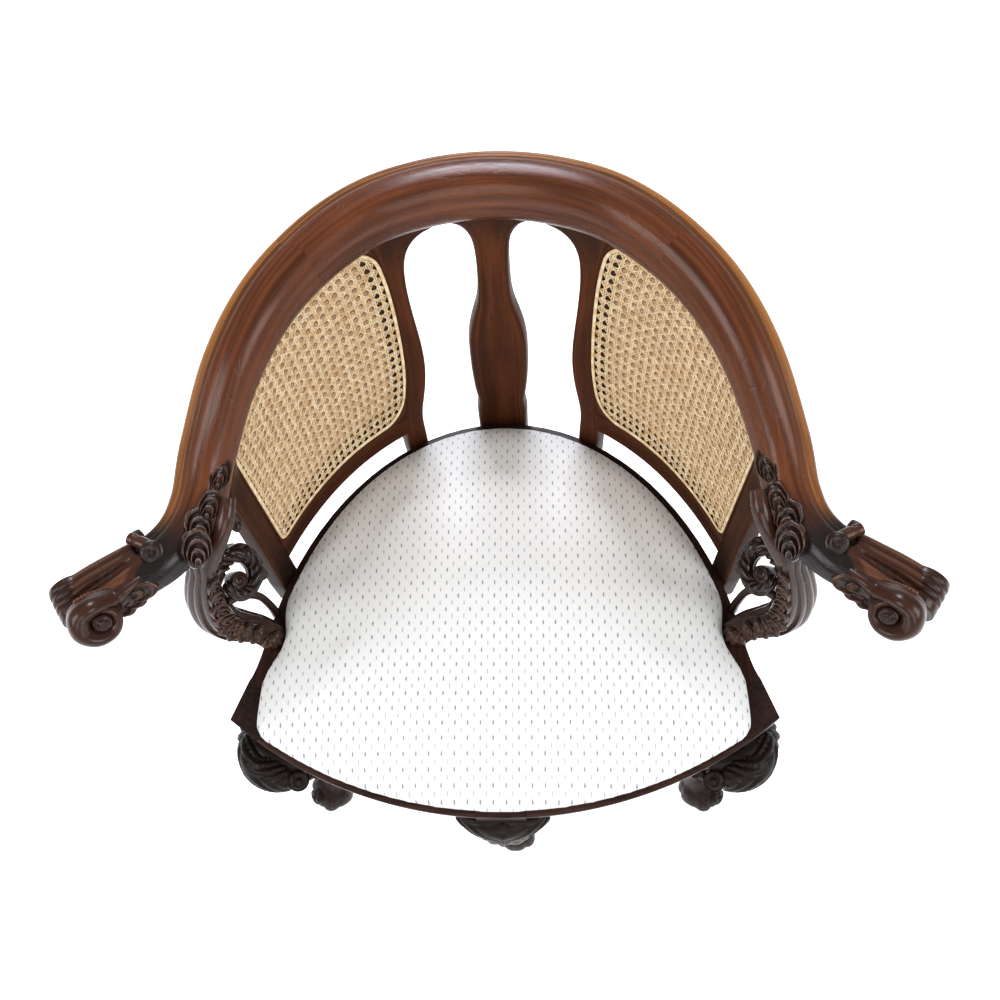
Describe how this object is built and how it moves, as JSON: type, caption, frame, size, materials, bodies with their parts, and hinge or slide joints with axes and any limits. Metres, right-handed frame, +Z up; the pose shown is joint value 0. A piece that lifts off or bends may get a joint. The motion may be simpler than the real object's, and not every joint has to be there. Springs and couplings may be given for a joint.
{
  "type": "desk chair",
  "caption": "Carved wooden desk chair with a horseshoe back rail, curved caned back panels, a middle splat, scrolled arms, cabriole legs and a drop-in upholstered seat.",
  "frame": {"origin": "middle of the chair's box at floor level, on the underside plane of the four feet", "axes": "+Z up; the seat's front and the front leg face -Y and the back is towards +Y; +X is the sitter's left, to the right of the picture"},
  "size_m": [0.7492, 0.5459, 0.796],
  "materials": {
    "mahogany": "old French polish, worn lighter on the edges and dark in the hollows",
    "dark_mahogany": "old polish, nearly black, worn to bronze on the raised carving",
    "cane": "natural woven cane, honey coloured, satin",
    "cane_binder": "flat binding cane, satin",
    "beech": "bare planed wood",
    "jute": "coarse plain weave",
    "stuffing": "curled hair under wadding",
    "cover_cloth": "off-white cloth with a small grey dash repeated in staggered rows",
    "tack_steel": "blued steel"
  },
  "bodies": {
    "root": {"crest_rail": "mahogany", "arm_rail_left": "mahogany", "arm_rail_right": "mahogany", "back_splat": "mahogany", "panel_stile_left": "mahogany", "panel_stile_right": "mahogany", "panel_bottom_rail_left": "mahogany", "panel_bottom_rail_right": "mahogany", "panel_side_stile_left": "mahogany", "panel_side_stile_right": "mahogany", "cane_sheet_left": "cane", "cane_sheet_right": "cane", "cane_binder_left": "cane_binder", "cane_binder_right": "cane_binder", "arm_support_left": "dark_mahogany", "arm_support_right": "dark_mahogany", "support_scroll_left": "dark_mahogany", "support_scroll_right": "dark_mahogany", "seat_rail_front_left": "mahogany", "seat_rail_front_right": "mahogany", "seat_rail_side_left": "mahogany", "seat_rail_side_right": "mahogany", "seat_rail_back_left": "mahogany", "seat_rail_back_right": "mahogany", "front_leg": "mahogany", "side_leg_left": "mahogany", "side_leg_right": "mahogany", "back_leg": "mahogany", "front_leg_bracket_left": "mahogany", "front_leg_bracket_right": "mahogany", "side_leg_left_front_bracket": "mahogany", "side_leg_left_rear_bracket": "mahogany", "side_leg_right_front_bracket": "mahogany", "side_leg_right_rear_bracket": "mahogany", "back_leg_bracket_left": "mahogany", "back_leg_bracket_right": "mahogany", "glue_blocks": "beech", "seat_frame_front": "beech", "seat_frame_back": "beech", "seat_frame_left": "beech", "seat_frame_right": "beech", "webbing": "jute", "hessian": "jute", "seat_stuffing": "stuffing", "seat_cover": "cover_cloth", "cover_tacks": "tack_steel", "frame_dowels": "beech", "upright_dowels": "beech", "arm_joint_dowels": "beech"}
  },
  "joints": []
}
